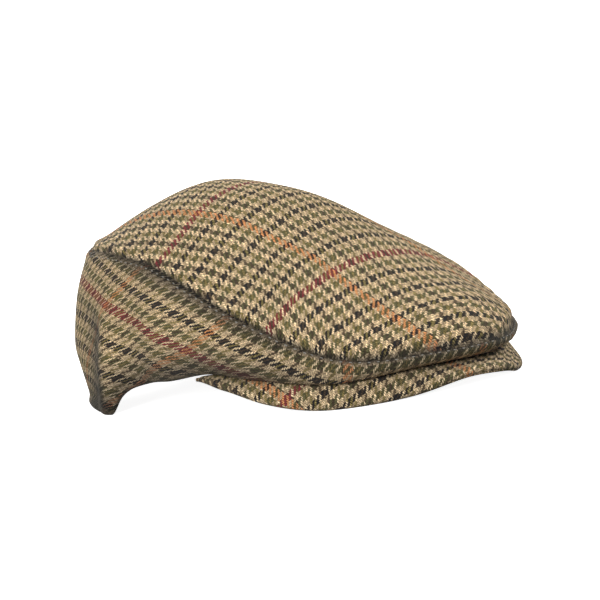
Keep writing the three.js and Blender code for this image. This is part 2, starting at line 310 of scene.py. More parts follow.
def peak_top(signed, r):
    """Height of the peak's upper face at a signed angle and radius.

    It falls from the head opening to a crease under the side panels' foot, and on to the edge.
    """
    place = np.clip(signed, -PEAK_END, PEAK_END)
    edge_r, edge_z, rise_in = (
        along(PEAK["degrees"], PEAK[k], place, True, True) for k in ("edge_r", "edge_z", "rise_in"))
    crease_r = np.minimum(section("foot_r", signed) - CREASE_FROM_FOOT, edge_r - CREASE_FROM_EDGE)
    crease_z = section("foot_z", signed) - PIECE_GAP
    inner_r = section("open_r", signed) - 1e-6
    inner_z = crease_z + rise_in
    inner_step = crease_r - inner_r
    outer_step = np.maximum(edge_r, r) - crease_r
    inner_slope = (crease_z - inner_z) / inner_step
    outer_slope = (edge_z - crease_z) / outer_step
    slope = middle_slope(inner_step, outer_step, inner_slope, outer_slope, True)
    inner = eased(inner_z, crease_z, inner_slope, slope, inner_step, (r - inner_r) / inner_step)
    outer = eased(crease_z, edge_z, slope, outer_slope, outer_step, (r - crease_r) / outer_step)
    return np.where(r < crease_r, inner, outer)


def tuck_height(angle, r):
    """Height of the tucked edge: just over the peak's higher half, and level behind it."""
    on_peak = np.maximum(peak_top(angle, r), peak_top(-angle, r)) + PIECE_GAP
    fade = smooth_rise(*TUCK_LEAVES_PEAK, np.abs(angle))
    return on_peak * (1 - fade) + section("foot_z", angle) * fade


def rounded(start, corner, end, s):
    """A curve from start to end that leans towards the corner between them."""
    return (start * (1 - s) + corner * s) * (1 - s) + (corner * (1 - s) + end * s) * s


def side_surface(angle, row):
    """Radius and height of the side panel's face at an angle and a row counted from the seam."""
    foot_r, foot_z = section("foot_r", angle), section("foot_z", angle)
    open_r = section("open_r", angle)
    stop = 1 - FOLD_REACH / (section("seam_z", angle) - foot_z)
    leg = np.minimum(FOLD_REACH, foot_r - open_r - LEAST_TUCK)
    wall_r, wall_z = side_wall(angle, stop * np.minimum(row / WALL_ROWS, 1))
    from_r, from_z = side_wall(angle, stop)
    to_r = foot_r - leg
    to_z = tuck_height(angle, to_r)
    s = np.clip((row - WALL_ROWS) / FOLD_ROWS, 0, 1)
    fold_r, fold_z = rounded(from_r, foot_r, to_r, s), rounded(from_z, foot_z, to_z, s)
    t = np.clip((row - WALL_ROWS - FOLD_ROWS) / TUCK_ROWS, 0, 1)
    tuck_r = to_r + (open_r - to_r) * t
    tuck_z = tuck_height(angle, tuck_r)
    on_wall, on_fold = row <= WALL_ROWS, row <= WALL_ROWS + FOLD_ROWS
    r = np.where(on_wall, wall_r, np.where(on_fold, fold_r, tuck_r))
    z = np.where(on_wall, wall_z, np.where(on_fold, fold_z, tuck_z))
    return r, z


def turned(r, angle, z):
    """Points at a radius and a signed angle from the front."""
    a = np.radians(angle)
    return np.stack([r * np.sin(a), -r * np.cos(a), z], -1)


def surface_normals(points):
    """Unit normals of a grid of points, as rows and columns turn."""
    across = np.gradient(points, axis=0)
    down = np.gradient(points, axis=1)
    n = np.cross(across, down)
    return n / np.maximum(np.linalg.norm(n, axis=-1, keepdims=True), 1e-9)


SEAM_POINTS = turned(section("seam_r", HALF_DEGREES), HALF_DEGREES, section("seam_z", HALF_DEGREES))
SEAM_ALONG = distances(SEAM_POINTS)

SEAM_GROOVE = 2.2      # depth of the groove along the seam
GROOVE_IN, GROOVE_DOWN = 0.75, 0.66    # shares of it that go inwards and downwards
TOP_GROOVE_WIDTH = 1.8     # half width of the groove on the top panel
SIDE_GROOVE_WIDTH = 3.0    # and on the side panels
BACK_EASE = 0.75       # behind, the groove is shallower by this share
BACK_EASES = (135, 158)    # degrees over which it becomes so
EDGE_ROLL = 0.7        # the cloth of both panels rises this much beside the groove
ROLL_PLACE = 4.0       # at this distance from the seam
PUCKER = 0.5           # how far the cloth puckers beside the seam
PUCKER_LENGTH = 11.0   # mm along the seam from pucker to pucker, about
PUCKER_STRETCH = 0.3   # across the seam the puckers are longer
PUCKER_START = 3.0     # they reach their height at this distance from the seam
PUCKER_REACH = 9.0     # and fade out over this one
SIDES_APART = 40       # mm, so that the puckers of the two sides differ
PUCKER_SEED, TOP_SEED, SIDE_SEED, STREAK_SEED = 21, 11, 31, 51


def sewn_in(points, normals, angle, from_seam, width):
    """Draws the cloth in along the seam: a groove, a soft roll beside it and uneven puckers."""
    along_seam = np.interp(np.abs(angle), HALF_DEGREES, SEAM_ALONG) + 0 * from_seam
    across = np.sign(angle) * SIDES_APART + from_seam * PUCKER_STRETCH
    pucker = PUCKER * ripple(PUCKER_SEED, along_seam, across, PUCKER_LENGTH)
    groove = SEAM_GROOVE * hump(0, width, from_seam)
    groove = groove * (1 - BACK_EASE * smooth_rise(*BACK_EASES, np.abs(angle)))
    roll = EDGE_ROLL * (from_seam / ROLL_PLACE) ** 2 * np.exp(1 - (from_seam / ROLL_PLACE) ** 2)
    a = np.radians(angle) + 0 * from_seam
    inward = np.stack([-np.sin(a) * GROOVE_IN, np.cos(a) * GROOVE_IN, -GROOVE_DOWN + 0 * a], -1)
    fading = np.exp(-from_seam / PUCKER_REACH) * smooth_rise(0, PUCKER_START, from_seam)
    raised = roll + pucker * fading
    return points + inward * groove[..., None] + normals * raised[..., None]


# Meshes: a grid from the operator, its corners moved onto the cap
def grid_mesh(columns_count, rows_count, points, threads, painted_shade):
    """A bmesh grid moved onto points[column][row].

    The thread counts become its UV map, and the last grid (0 to 1) gives how much shade is painted
    on the cloth, in a seam, under a fold and elsewhere.
    """
    mesh = bmesh.new()
    bmesh.ops.create_grid(mesh, x_segments=columns_count, y_segments=rows_count, size=0.5)
    mesh.verts.ensure_lookup_table()
    layer = mesh.loops.layers.uv.new("cloth")
    shaded = mesh.verts.layers.float.new("painted_shade")
    places = {}
    for vert in mesh.verts:
        i = round((vert.co.x + 0.5) * columns_count)
        j = round((vert.co.y + 0.5) * rows_count)
        places[vert.index] = (i, j)
    for face in mesh.faces:
        for loop in face.loops:
            i, j = places[loop.vert.index]
            loop[layer].uv = threads[i, j]
    for vert in mesh.verts:
        i, j = places[vert.index]
        x, y, z = points[i, j]
        vert.co = (x * MM, (y + HEAD_MIDDLE_Y) * MM, z * MM)
        vert[shaded] = painted_shade[i, j]
    return mesh


def finish_piece(mesh, name, material, node, wall=0.0):
    """Turns the bmesh into a shown piece that stands for a node and rides on the root."""
    data = bpy.data.meshes.new(name)
    mesh.to_mesh(data)
    mesh.free()
    data.materials.append(material)
    data.polygons.foreach_set("use_smooth", [True] * len(data.polygons))
    piece = bpy.data.objects.new(name, data)
    bpy.context.scene.collection.objects.link(piece)
    if wall:
        inward = piece.modifiers.new("cloth_thickness", "SOLIDIFY")
        inward.thickness = wall * MM
        inward.offset = -1
    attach(piece, "root")
    if node:
        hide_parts(node)
    return piece


WELD = 0.00002         # metres: corners closer than this are merged

TOP_AROUND, TOP_RINGS = 420, 96    # faces round the top panel, and from its middle to the seam
RING_CROWDING = 1.6    # above 1, its rings lie closer together near the seam
TOP_WAVE, TOP_WAVE_LENGTH = 0.9, 70    # height and length of the slight waves of its cloth
TOP_WAVE_START = 30    # which reach their height at this distance from the seam
TOP_SEAM_SHADE = 0.85  # painted shade on the cloth in the seam
TOP_SHADE_REACH = 1.4  # up to about this far from it
TOP_SHADE_LESS = 0.5   # behind, it is less so by this share
TOP_SHADE_EASES = (130, 160)   # degrees over which it becomes so


def build_top(material):
    """The top panel: rings of faces from its middle out to the seam."""
    angle = np.linspace(-180, 180, TOP_AROUND + 1)[:, None]
    share = (1 - (1 - np.linspace(0, 1, TOP_RINGS + 1)) ** RING_CROWDING)[None, :]
    points, from_seam = top_surface(angle, share)
    threads = np.stack(top_grain(points), -1)
    normals = surface_normals(points)
    normals[:, 0] = (0, 0, 1)
    normals *= np.where(normals[..., 2:] < 0, -1, 1)
    waves = TOP_WAVE * ripple(TOP_SEED, points[..., 0], points[..., 1], TOP_WAVE_LENGTH)
    waves = waves * smooth_rise(0, TOP_WAVE_START, from_seam)
    points = points + normals * waves[..., None]
    points = sewn_in(points, normals, angle, from_seam, TOP_GROOVE_WIDTH)
    # painted shade along the seam, weaker behind
    less_behind = 1 - TOP_SHADE_LESS * smooth_rise(*TOP_SHADE_EASES, np.abs(angle))
    painted_shade = TOP_SEAM_SHADE * hump(0, TOP_SHADE_REACH, from_seam) * less_behind
    mesh = grid_mesh(TOP_AROUND, TOP_RINGS, points, threads, painted_shade)
    bmesh.ops.remove_doubles(mesh, verts=mesh.verts, dist=WELD)
    bmesh.ops.recalc_face_normals(mesh, faces=mesh.faces)
    face_up(mesh)
    top = finish_piece(mesh, "top_panel", material, "crown_top", CLOTH_WALL)


def face_up(mesh):
    """Turns the faces round if they point inwards."""
    middle = Vector((0, 0, 0.05))
    outward = sum(f.normal.dot(f.calc_center_median() - middle) * f.calc_area() for f in mesh.faces)
    if outward < 0:
        bmesh.ops.reverse_faces(mesh, faces=mesh.faces)


SIDE_WAVE, SIDE_WAVE_LENGTH = 0.7, 60  # height and length of the side cloth's slight waves
SIDE_WAVE_START = 20   # which reach their height at this distance from the seam
# The places of the next three are given as degrees from the front, with half a width.
CORNER_RIDGE, CORNER_RIDGE_AT = 2.0, (131, 4)      # the lower back corner is a soft upright fold
CORNER_FLAT, CORNER_FLAT_AT = 4.2, (144, 7.5)      # the cloth behind it lies flatter
BACK_BULGE, BACK_BULGE_AT = 4.6, (163, 6)          # and behind that it bulges out once more
BACK_BULGE_HEIGHT = (31, 14)   # around this height, with half a width
CORNER_START = (24, 46)    # mm below the seam over which the fold and the flat part set in
FOOT_EASES = (-3, 1)   # mm from the wall's lower end over which all this dies away


def side_folds(angle, along_seam, depth, height, side):
    """How far a side panel's cloth stands out: slight waves, the corner fold and the bulge."""
    waves = SIDE_WAVE * ripple(SIDE_SEED + side, along_seam, depth, SIDE_WAVE_LENGTH)
    waves = waves * smooth_rise(0, SIDE_WAVE_START, depth)
    corner = CORNER_RIDGE * hump(*CORNER_RIDGE_AT, angle)
    corner = corner - CORNER_FLAT * hump(*CORNER_FLAT_AT, angle)
    bulge = BACK_BULGE * hump(*BACK_BULGE_AT, angle) * hump(*BACK_BULGE_HEIGHT, height)
    folds = waves + corner * smooth_rise(*CORNER_START, depth) + bulge
    wall_end = depth[:, WALL_ROWS:WALL_ROWS + 1]
    return folds * (1 - smooth_rise(*FOOT_EASES, depth - wall_end))


def side_grain(along_seam, depth, side):
    """Thread counts of the cloth on a side panel: along the seam and down from it."""
    lean = np.interp(along_seam, LEAN["along"], LEAN["lean"])
    red_depth = np.interp(along_seam, LEAN["along"], LEAN["red_depth"])
    across = np.interp(along_seam - lean * depth, LEAN["along"], LEAN["threads"]) * -side
    down = REPEAT * (depth - red_depth) / SIDE_REPEAT_DEPTH + LINE_PLACE
    return np.stack([across, down], -1)


SIDE_SEAM_SHADE = 0.95     # painted shade on a side panel's cloth beside the seam
SIDE_SHADE_REACH = 3.8     # up to about this far below it
SIDE_SHADE_WIDER = 5.2     # and this much further on the cap's side
WIDER_FROM, WIDER_TO = (50, 66), (112, 132)    # degrees over which that sets in and ends
SIDE_SHADE_LESS = 0.6      # behind, the seam is less shaded by this share
SIDE_SHADE_EASES = (125, 160)  # degrees over which it becomes so
HEM_ROW = WALL_ROWS + 4    # the grid's row that is lowest, on the lower fold
HEM_SHADE = 0.75       # painted shade on the cloth along its lower fold
HEM_REACH = 14.0       # up to about this far above the fold
HEM_SHARE_FRONT = 0.4  # only by this share in front
HEM_EASES = (45, 75)   # degrees over which it becomes fully so
FOLD_SHADE = 0.78      # painted shade on the cloth behind the right corner fold
FOLD_SHADE_LEFT = 0.2  # and behind the left one, where it is painted weaker
FOLD_FROM, FOLD_TO = (129.5, 134), (136, 151)      # degrees over which that sets in and ends
FOLD_UPRIGHT = 30      # mm above the table up to which the fold stands upright
FOLD_LEAN = 0.009      # above that it curves back: degrees for each square mm
FOLD_TOP = (46, 72)    # mm above the table over which its shade fades out
FOLD_STREAKS = 0.3     # how much that painted shade varies, in upright streaks
STREAK_WIDTH = 5.0     # mm from streak to streak, about
STREAK_STRETCH = 0.12  # the streaks are longer than wide
TUCK_SHADE = 0.6       # painted shade on the tucked edge, this strong
TUCK_EASES = (HEM_ROW, SIDE_ROWS - 8)          # rows over which it becomes so


def side_shade(angle, row, along_seam, depth, height, side):
    """Painted shade on the cloth: at the seam, along the hem and behind the corner."""
    wider = smooth_rise(*WIDER_FROM, angle) * (1 - smooth_rise(*WIDER_TO, angle))
    reach = SIDE_SHADE_REACH + SIDE_SHADE_WIDER * wider
    less_behind = 1 - SIDE_SHADE_LESS * smooth_rise(*SIDE_SHADE_EASES, angle)
    at_seam = SIDE_SEAM_SHADE * hump(0, reach, depth) * less_behind
    above_hem = np.maximum(depth[:, HEM_ROW:HEM_ROW + 1] - depth, 0)
    hem_share = HEM_SHARE_FRONT + (1 - HEM_SHARE_FRONT) * smooth_rise(*HEM_EASES, angle)
    at_hem = hem_share * HEM_SHADE * hump(0, HEM_REACH, above_hem)
    lean = FOLD_LEAN * np.maximum(height - FOLD_UPRIGHT, 0) ** 2
    behind = smooth_rise(*FOLD_FROM, angle - lean) * (1 - smooth_rise(*FOLD_TO, angle))
    behind = behind * (FOLD_SHADE if side < 0 else FOLD_SHADE_LEFT)
    streaks = ripple(STREAK_SEED, along_seam, depth * STREAK_STRETCH, STREAK_WIDTH)
    behind = behind * (1 + FOLD_STREAKS * streaks) * (1 - smooth_rise(*FOLD_TOP, height))
    tucked = TUCK_SHADE * smooth_rise(*TUCK_EASES, row)
    return np.minimum(at_seam + at_hem + behind + tucked, 1)


def build_side(name, node, side, material):
    """Builds one side panel, and gives back its surface for the stitches to lie on."""
    angle = np.linspace(0, 180, SIDE_COLUMNS + 1)[:, None]
    row = np.linspace(0, SIDE_ROWS, SIDE_ROWS + 1)[None, :]
    r, z = side_surface(angle, row)
    points = turned(r, angle + 0 * row, z)
    depth = distances(points)
    along_seam = distances(points[:, 0])[:, None] + 0 * depth
    threads = side_grain(along_seam, depth, side)
    normals = -surface_normals(points)
    folds = side_folds(angle, along_seam, depth, points[..., 2], side)
    points = points + normals * folds[..., None]
    points = sewn_in(points, normals, angle, depth, SIDE_GROOVE_WIDTH)
    # the two panels meet in the cap's middle and don't reach past it
    points[..., 0] = np.maximum(points[..., 0], 0) * side
    normals[..., 0] *= side
    # painted shade at the seam, along the hem, behind the corner and on the tucked edge
    painted_shade = side_shade(angle, row, along_seam, depth, points[..., 2], side)
    mesh = grid_mesh(SIDE_COLUMNS, SIDE_ROWS, points, threads, painted_shade)
    bmesh.ops.recalc_face_normals(mesh, faces=mesh.faces)
    face_up(mesh)
    panel = finish_piece(mesh, name, material, node, CLOTH_WALL)
    return points, normals, depth, along_seam


STITCH_STEP = 5.0      # mm from stitch to stitch
STITCH_END = 2.0       # the last one ends at least this far from the back seam
STITCH_DEPTH = 1.9     # mm below the seam
STITCH_SIZE = (0.9, 0.36, 0.32)    # half length, half width and half height of a stitch
STITCH_LIFT = 0.2      # how far a stitch stands above the cloth
STITCH_LIFT_DEEP = -0.15   # in front, where the thread is drawn deeper into the cloth
STITCH_DEEP_UNTIL = 110    # mm along the seam from the front


def build_stitches(panels, material):
    """The topstitching: short thread bumps that lie along the seam on both side panels."""
    mesh = bmesh.new()
    size = Matrix.Diagonal([v * MM for v in STITCH_SIZE] + [1])
    for points, normals, depth, along_seam in panels:
        for place in np.arange(STITCH_STEP, along_seam[-1, 0] - STITCH_END, STITCH_STEP):
            column = int(np.searchsorted(along_seam[:, 0], place))
            row = int(np.searchsorted(depth[column], STITCH_DEPTH))
            run = Vector(points[column + 1, row] - points[column - 1, row]).normalized()
            out = Vector(normals[column, row])
            out = (out - run * out.dot(run)).normalized()
            turn = Matrix((run, out.cross(run), out)).transposed().to_4x4()
            lift = STITCH_LIFT if place > STITCH_DEEP_UNTIL else STITCH_LIFT_DEEP
            middle = Vector(points[column, row]) + out * lift + Vector((0, HEAD_MIDDLE_Y, 0))
            bmesh.ops.create_uvsphere(mesh, u_segments=8, v_segments=6, radius=1,
                                      matrix=Matrix.Translation(middle * MM) @ turn @ size)
    finish_piece(mesh, "topstitching", material, None)


PEAK_ACROSS = 260      # faces from one corner of the peak to the other
PEAK_TOP_ROWS, PEAK_NOSE_ROWS = 40, 22     # and across its upper face, and round its edge
PEAK_CORNER_WALL = 0.4     # share of its thickness that is left at its corners
PEAK_CORNER_LENGTH = 0.14  # it thins over this share of the way from a corner to the middle
PEAK_INSET = 0.4       # it starts this far outside the head opening
PEAK_LOWEST = 0.05     # and stays this far above the table
PEAK_NOSE_SHARE = 0.75     # its edge is rounded over this share of half its thickness
PEAK_EDGE_SEAM = 0.22  # its edge seam is sunk by this share of half its thickness
EDGE_SEAM_AT = (1.9, 0.16)     # radians round the edge from its upper side, with half a width
PEAK_LINES_MEET = (-94.0, -54.0)   # where a rust and a dark red line cross on the peak
PEAK_GRAIN_TURN = 16.0     # degrees by which the peak's cloth was turned when it was cut
PEAK_SHADE = 0.16      # painted shade on the peak's upper cloth, all over it
ROOT_SHADE = 0.7       # and this much more painted shade under the side panels
ROOT_SHADE_FROM, ROOT_SHADE_LENGTH = 3, 5  # from this far inside their foot, over this length
UNDER_SHADE = 0.6      # painted shade on the lower cloth


def peak_ring(signed, inner_r):
    """Radii and heights round the peak: its upper face, its edge and its lower face."""
    full = smooth_rise(0, PEAK_CORNER_LENGTH, 1 - np.abs(signed) / PEAK_END)
    half = PEAK_WALL / 2 * (PEAK_CORNER_WALL + (1 - PEAK_CORNER_WALL) * full)
    edge_r = along(PEAK["degrees"], PEAK["edge_r"], signed, True, True)
    end_r = edge_r - half * PEAK_NOSE_SHARE
    r = inner_r + (end_r - inner_r) * np.linspace(0, 1, PEAK_TOP_ROWS + 1)[None, :]
    z = peak_top(signed + 0 * r, r)
    # the slope of the upper face, from its heights half a millimetre further out and in
    outer, inner = np.minimum(r + 0.5, edge_r), np.maximum(r - 0.5, inner_r)
    slope = (peak_top(signed, outer) - peak_top(signed, inner)) / (outer - inner)
    length = np.hypot(slope, 1)
    nr, nz = -slope / length, 1 / length
    mid_r, mid_z = r - nr * half, z - nz * half
    turn = np.linspace(0, math.pi, PEAK_NOSE_ROWS + 1)[None, 1:-1]
    c, s = np.cos(turn) * half, np.sin(turn) * half
    tip = slice(PEAK_TOP_ROWS, PEAK_TOP_ROWS + 1)
    # a line of sunk stitching runs round the edge where the upper cloth meets the lower
    sunk = 1 - PEAK_EDGE_SEAM * hump(*EDGE_SEAM_AT, turn)
    nose_r = mid_r[:, tip] + (nr[:, tip] * c + nz[:, tip] * s) * sunk
    nose_z = mid_z[:, tip] + (nz[:, tip] * c - nr[:, tip] * s) * sunk
    under_r, under_z = (mid_r - nr * half)[:, ::-1], (mid_z - nz * half)[:, ::-1]
    return np.concatenate([r, nose_r, under_r], 1), np.concatenate([z, nose_z, under_z], 1)


def peak_grain(signed, inner_r, ring_r, ring_z):
    """Thread counts of the cloth on the peak, which go round its edge to the lower face."""
    run = distances(np.stack([ring_r, ring_z], -1))
    nose_middle = run[:, PEAK_TOP_ROWS + PEAK_NOSE_ROWS // 2][:, None]
    cloth_r = inner_r + np.where(run < nose_middle, run, 2 * nose_middle - run)
    a = np.radians(signed)
    x = cloth_r * np.sin(a) - PEAK_LINES_MEET[0]
    y = -cloth_r * np.cos(a) - PEAK_LINES_MEET[1]
    turn = math.radians(PEAK_GRAIN_TURN)
    across = x * math.cos(turn) - y * math.sin(turn)
    down = x * math.sin(turn) + y * math.cos(turn)
    return LINE_PLACE + REPEAT * np.stack([across, down], -1) / TOP_REPEAT_RIGHT


def ring_closed(grid):
    """The grid with its first row repeated after its last."""
    return np.concatenate([grid, grid[:, :1]], 1)


def build_peak(material):
    """The peak: a stiff slab wrapped in cloth, closed at both corners."""
    signed = np.linspace(-1, 1, PEAK_ACROSS + 1)[:, None] * PEAK_END
    inner_r = section("open_r", signed) + PEAK_INSET
    ring_r, ring_z = peak_ring(signed, inner_r)
    threads = peak_grain(signed, inner_r, ring_r, ring_z)
    points = turned(ring_r, signed + 0 * ring_r, np.maximum(ring_z, PEAK_LOWEST))
    # painted shade on the peak: all over, more in the crease under the side panels, and on its
    # lower face
    inside_foot = section("foot_r", signed) - ROOT_SHADE_FROM - ring_r
    painted_shade = PEAK_SHADE + ROOT_SHADE * smooth_rise(0, ROOT_SHADE_LENGTH, inside_foot)
    painted_shade[:, PEAK_TOP_ROWS + PEAK_NOSE_ROWS:] = UNDER_SHADE
    rows_count = ring_r.shape[1]
    mesh = grid_mesh(PEAK_ACROSS, rows_count, *(ring_closed(g) for g in (points, threads, painted_shade)))
    bmesh.ops.remove_doubles(mesh, verts=mesh.verts, dist=WELD)
    ends = [e for e in mesh.edges if e.is_boundary]
    bmesh.ops.holes_fill(mesh, edges=ends, sides=0)
    bmesh.ops.recalc_face_normals(mesh, faces=mesh.faces)
    finish_piece(mesh, "peak_cover", material, "peak")


# Materials
def linear(hex_colour, alpha=1.0):
    """An sRGB hex colour as the linear colour that shaders take."""
    values = [int(hex_colour[i:i + 2], 16) / 255 for i in (1, 3, 5)]
    return [v / 12.92 if v <= 0.04045 else ((v + 0.055) / 1.055) ** 2.4 for v in values] + [alpha]


def add(tree, kind, inputs=None, **settings):
    """Adds one node, sets its settings, and fills or links its inputs.

    A node given as an input stands for its first output.
    """
    node = tree.nodes.new(kind)
    for key, value in settings.items():
        setattr(node, key, value)
    for key, value in (inputs or {}).items():
        if isinstance(value, bpy.types.Node):
            value = value.outputs[0]
        if isinstance(value, bpy.types.NodeSocket):
            tree.links.new(value, node.inputs[key])
        else:
            node.inputs[key].default_value = value
    return node


def new_material(name):
    material = bpy.data.materials.new(name)
    material.use_nodes = True
    material.node_tree.nodes.clear()
    return material, material.node_tree


MATH, MIX = "ShaderNodeMath", "ShaderNodeMix"
# Colours of the yarns in turn, four of each; the front-to-back ones first.
LONG_YARNS = ("#DEC49A", "#7A6B3E", "#DEC49A", "#443729")
CROSS_YARNS = ("#B49C78", "#565235", "#B49C78", "#17161A")
RUST_COLOUR, RED_COLOUR = "#CC8A54", "#762A30"
# How the yarns wander, finely and slowly: grains of noise in a mm, their detail, and threads
# of shift.
YARN_DRIFT = ((0.8, 2.0, 1.6), (0.06, 1.0, 3.0))
FLECKS = 0.8           # flecks of other fibres in a mm
FLECK_TONES = (0.45, 1.55)     # tone of the darkest and of the lightest
HAIRS = 2.6            # loose hairs in a mm
FLOAT_SHADE_AND_HIGHLIGHT = (0.3, 1.5)       # tones of the painted shade at a float's edge and of the painted highlight on its crown
DYE_SPREAD = 0.3       # how much the tone differs from yarn to yarn
# A float covers the yarn under it from the first of these heights up to the second, which are
# given for the crosswise yarns and then for the front-to-back ones, the thinner ones.
COVER_FROM, COVER_TO = (0.02, 0.2), (0.3, 0.6)
COVER_LEAST = 0.35     # share that it covers at its very edge
PAINTED_SHADE_DARKENS, PAINTED_SHADE_DULLS = 0.9, 0.2    # shares of tone and of colour lost where shade is painted
WEAVE_RELIEF = 0.5     # mm, height of the floats as the light sees them


def yarn_order(tree, number, colours, line_colour, line_width):
    """Colour of the yarn with this number: four of each in turn, and now and then a line."""
    turns = add(tree, MATH, {0: number, 1: 1 / REPEAT, 2: 0.5 / REPEAT}, operation="MULTIPLY_ADD")
    turn = add(tree, MATH, {0: turns}, operation="FRACT")
    ramp = add(tree, "ShaderNodeValToRGB", {0: turn})
    ramp.color_ramp.interpolation = "CONSTANT"
    for place, colour in zip((0.25, 0.5, 0.75), colours[1:]):
        ramp.color_ramp.elements.new(place).color = linear(colour)
    ramp.color_ramp.elements[0].color = linear(colours[0])
    ramp.color_ramp.elements.remove(ramp.color_ramp.elements[-1])
    # a wider line ends earlier by whole yarns; the half keeps its limits between two numbers
    early = math.ceil((line_width - 3) / 2) - 0.5
    far = add(tree, MATH, {0: number, 1: 1 / LINE_EVERY, 2: early / LINE_EVERY},
              operation="MULTIPLY_ADD")
    far_turn = add(tree, MATH, {0: far}, operation="FRACT")
    on_line = add(tree, MATH, {0: far_turn, 1: 1 - line_width / LINE_EVERY},
                  operation="GREATER_THAN")
    mixed = add(tree, MIX, {0: on_line, 6: ramp.outputs[0], 7: linear(line_colour)},
                data_type="RGBA")
    return mixed.outputs[2]


def wandering_threads(tree, place):
    """Thread counts at a point, both ways, shifted a little because yarns wander."""
    yarns = add(tree, "ShaderNodeUVMap", uv_map="cloth")
    for grains, detail, threads in YARN_DRIFT:
        field = add(tree, "ShaderNodeTexNoise",
                    {"Vector": place, "Scale": grains / MM, "Detail": detail})
        drift = add(tree, "ShaderNodeVectorMath",
                    {0: field.outputs["Color"], 1: (0.5, 0.5, 0.5)}, operation="SUBTRACT")
        yarns = add(tree, "ShaderNodeVectorMath",
                    {0: drift, 1: (threads, threads, threads), 2: yarns}, operation="MULTIPLY_ADD")
    counts = add(tree, "ShaderNodeSeparateXYZ", {0: yarns})
    return counts.outputs[0], counts.outputs[1]


def twill_floats(tree, long_number, cross_number, u_part, v_part):
    """Whether a front-to-back yarn is on top in a two-and-two twill, and its float's height.

    Each float is two threads long: rounded across the yarn, and dipping where it goes under.
    """
    steps = add(tree, MATH, {0: long_number, 1: cross_number}, operation="SUBTRACT")
    phase = add(tree, MATH, {0: steps, 1: 4.0}, operation="FLOORED_MODULO")
    long_up = add(tree, MATH, {0: phase, 1: 1.5}, operation="LESS_THAN")
    half = add(tree, MATH, {0: phase, 1: 2.0}, operation="FLOORED_MODULO")
    cross_run = add(tree, MATH, {0: half, 1: u_part}, operation="ADD")
    long_start = add(tree, MATH, {0: 1.0, 1: half}, operation="SUBTRACT")
    long_run = add(tree, MATH, {0: long_start, 1: v_part}, operation="ADD")
    run = add(tree, MIX, {0: long_up, 2: cross_run, 3: long_run})
    side = add(tree, MIX, {0: long_up, 2: v_part, 3: u_part})
    run_turn = add(tree, MATH, {0: run, 1: math.pi / 2}, operation="MULTIPLY")
    side_turn = add(tree, MATH, {0: side, 1: math.pi}, operation="MULTIPLY")
    run_round = add(tree, MATH, {0: run_turn}, operation="SINE")
    side_round = add(tree, MATH, {0: side_turn}, operation="SINE")
    crown = add(tree, MATH, {0: run_round, 1: 0.5, 2: 0.5}, operation="MULTIPLY_ADD")
    return long_up, add(tree, MATH, {0: side_round, 1: crown}, operation="MULTIPLY")


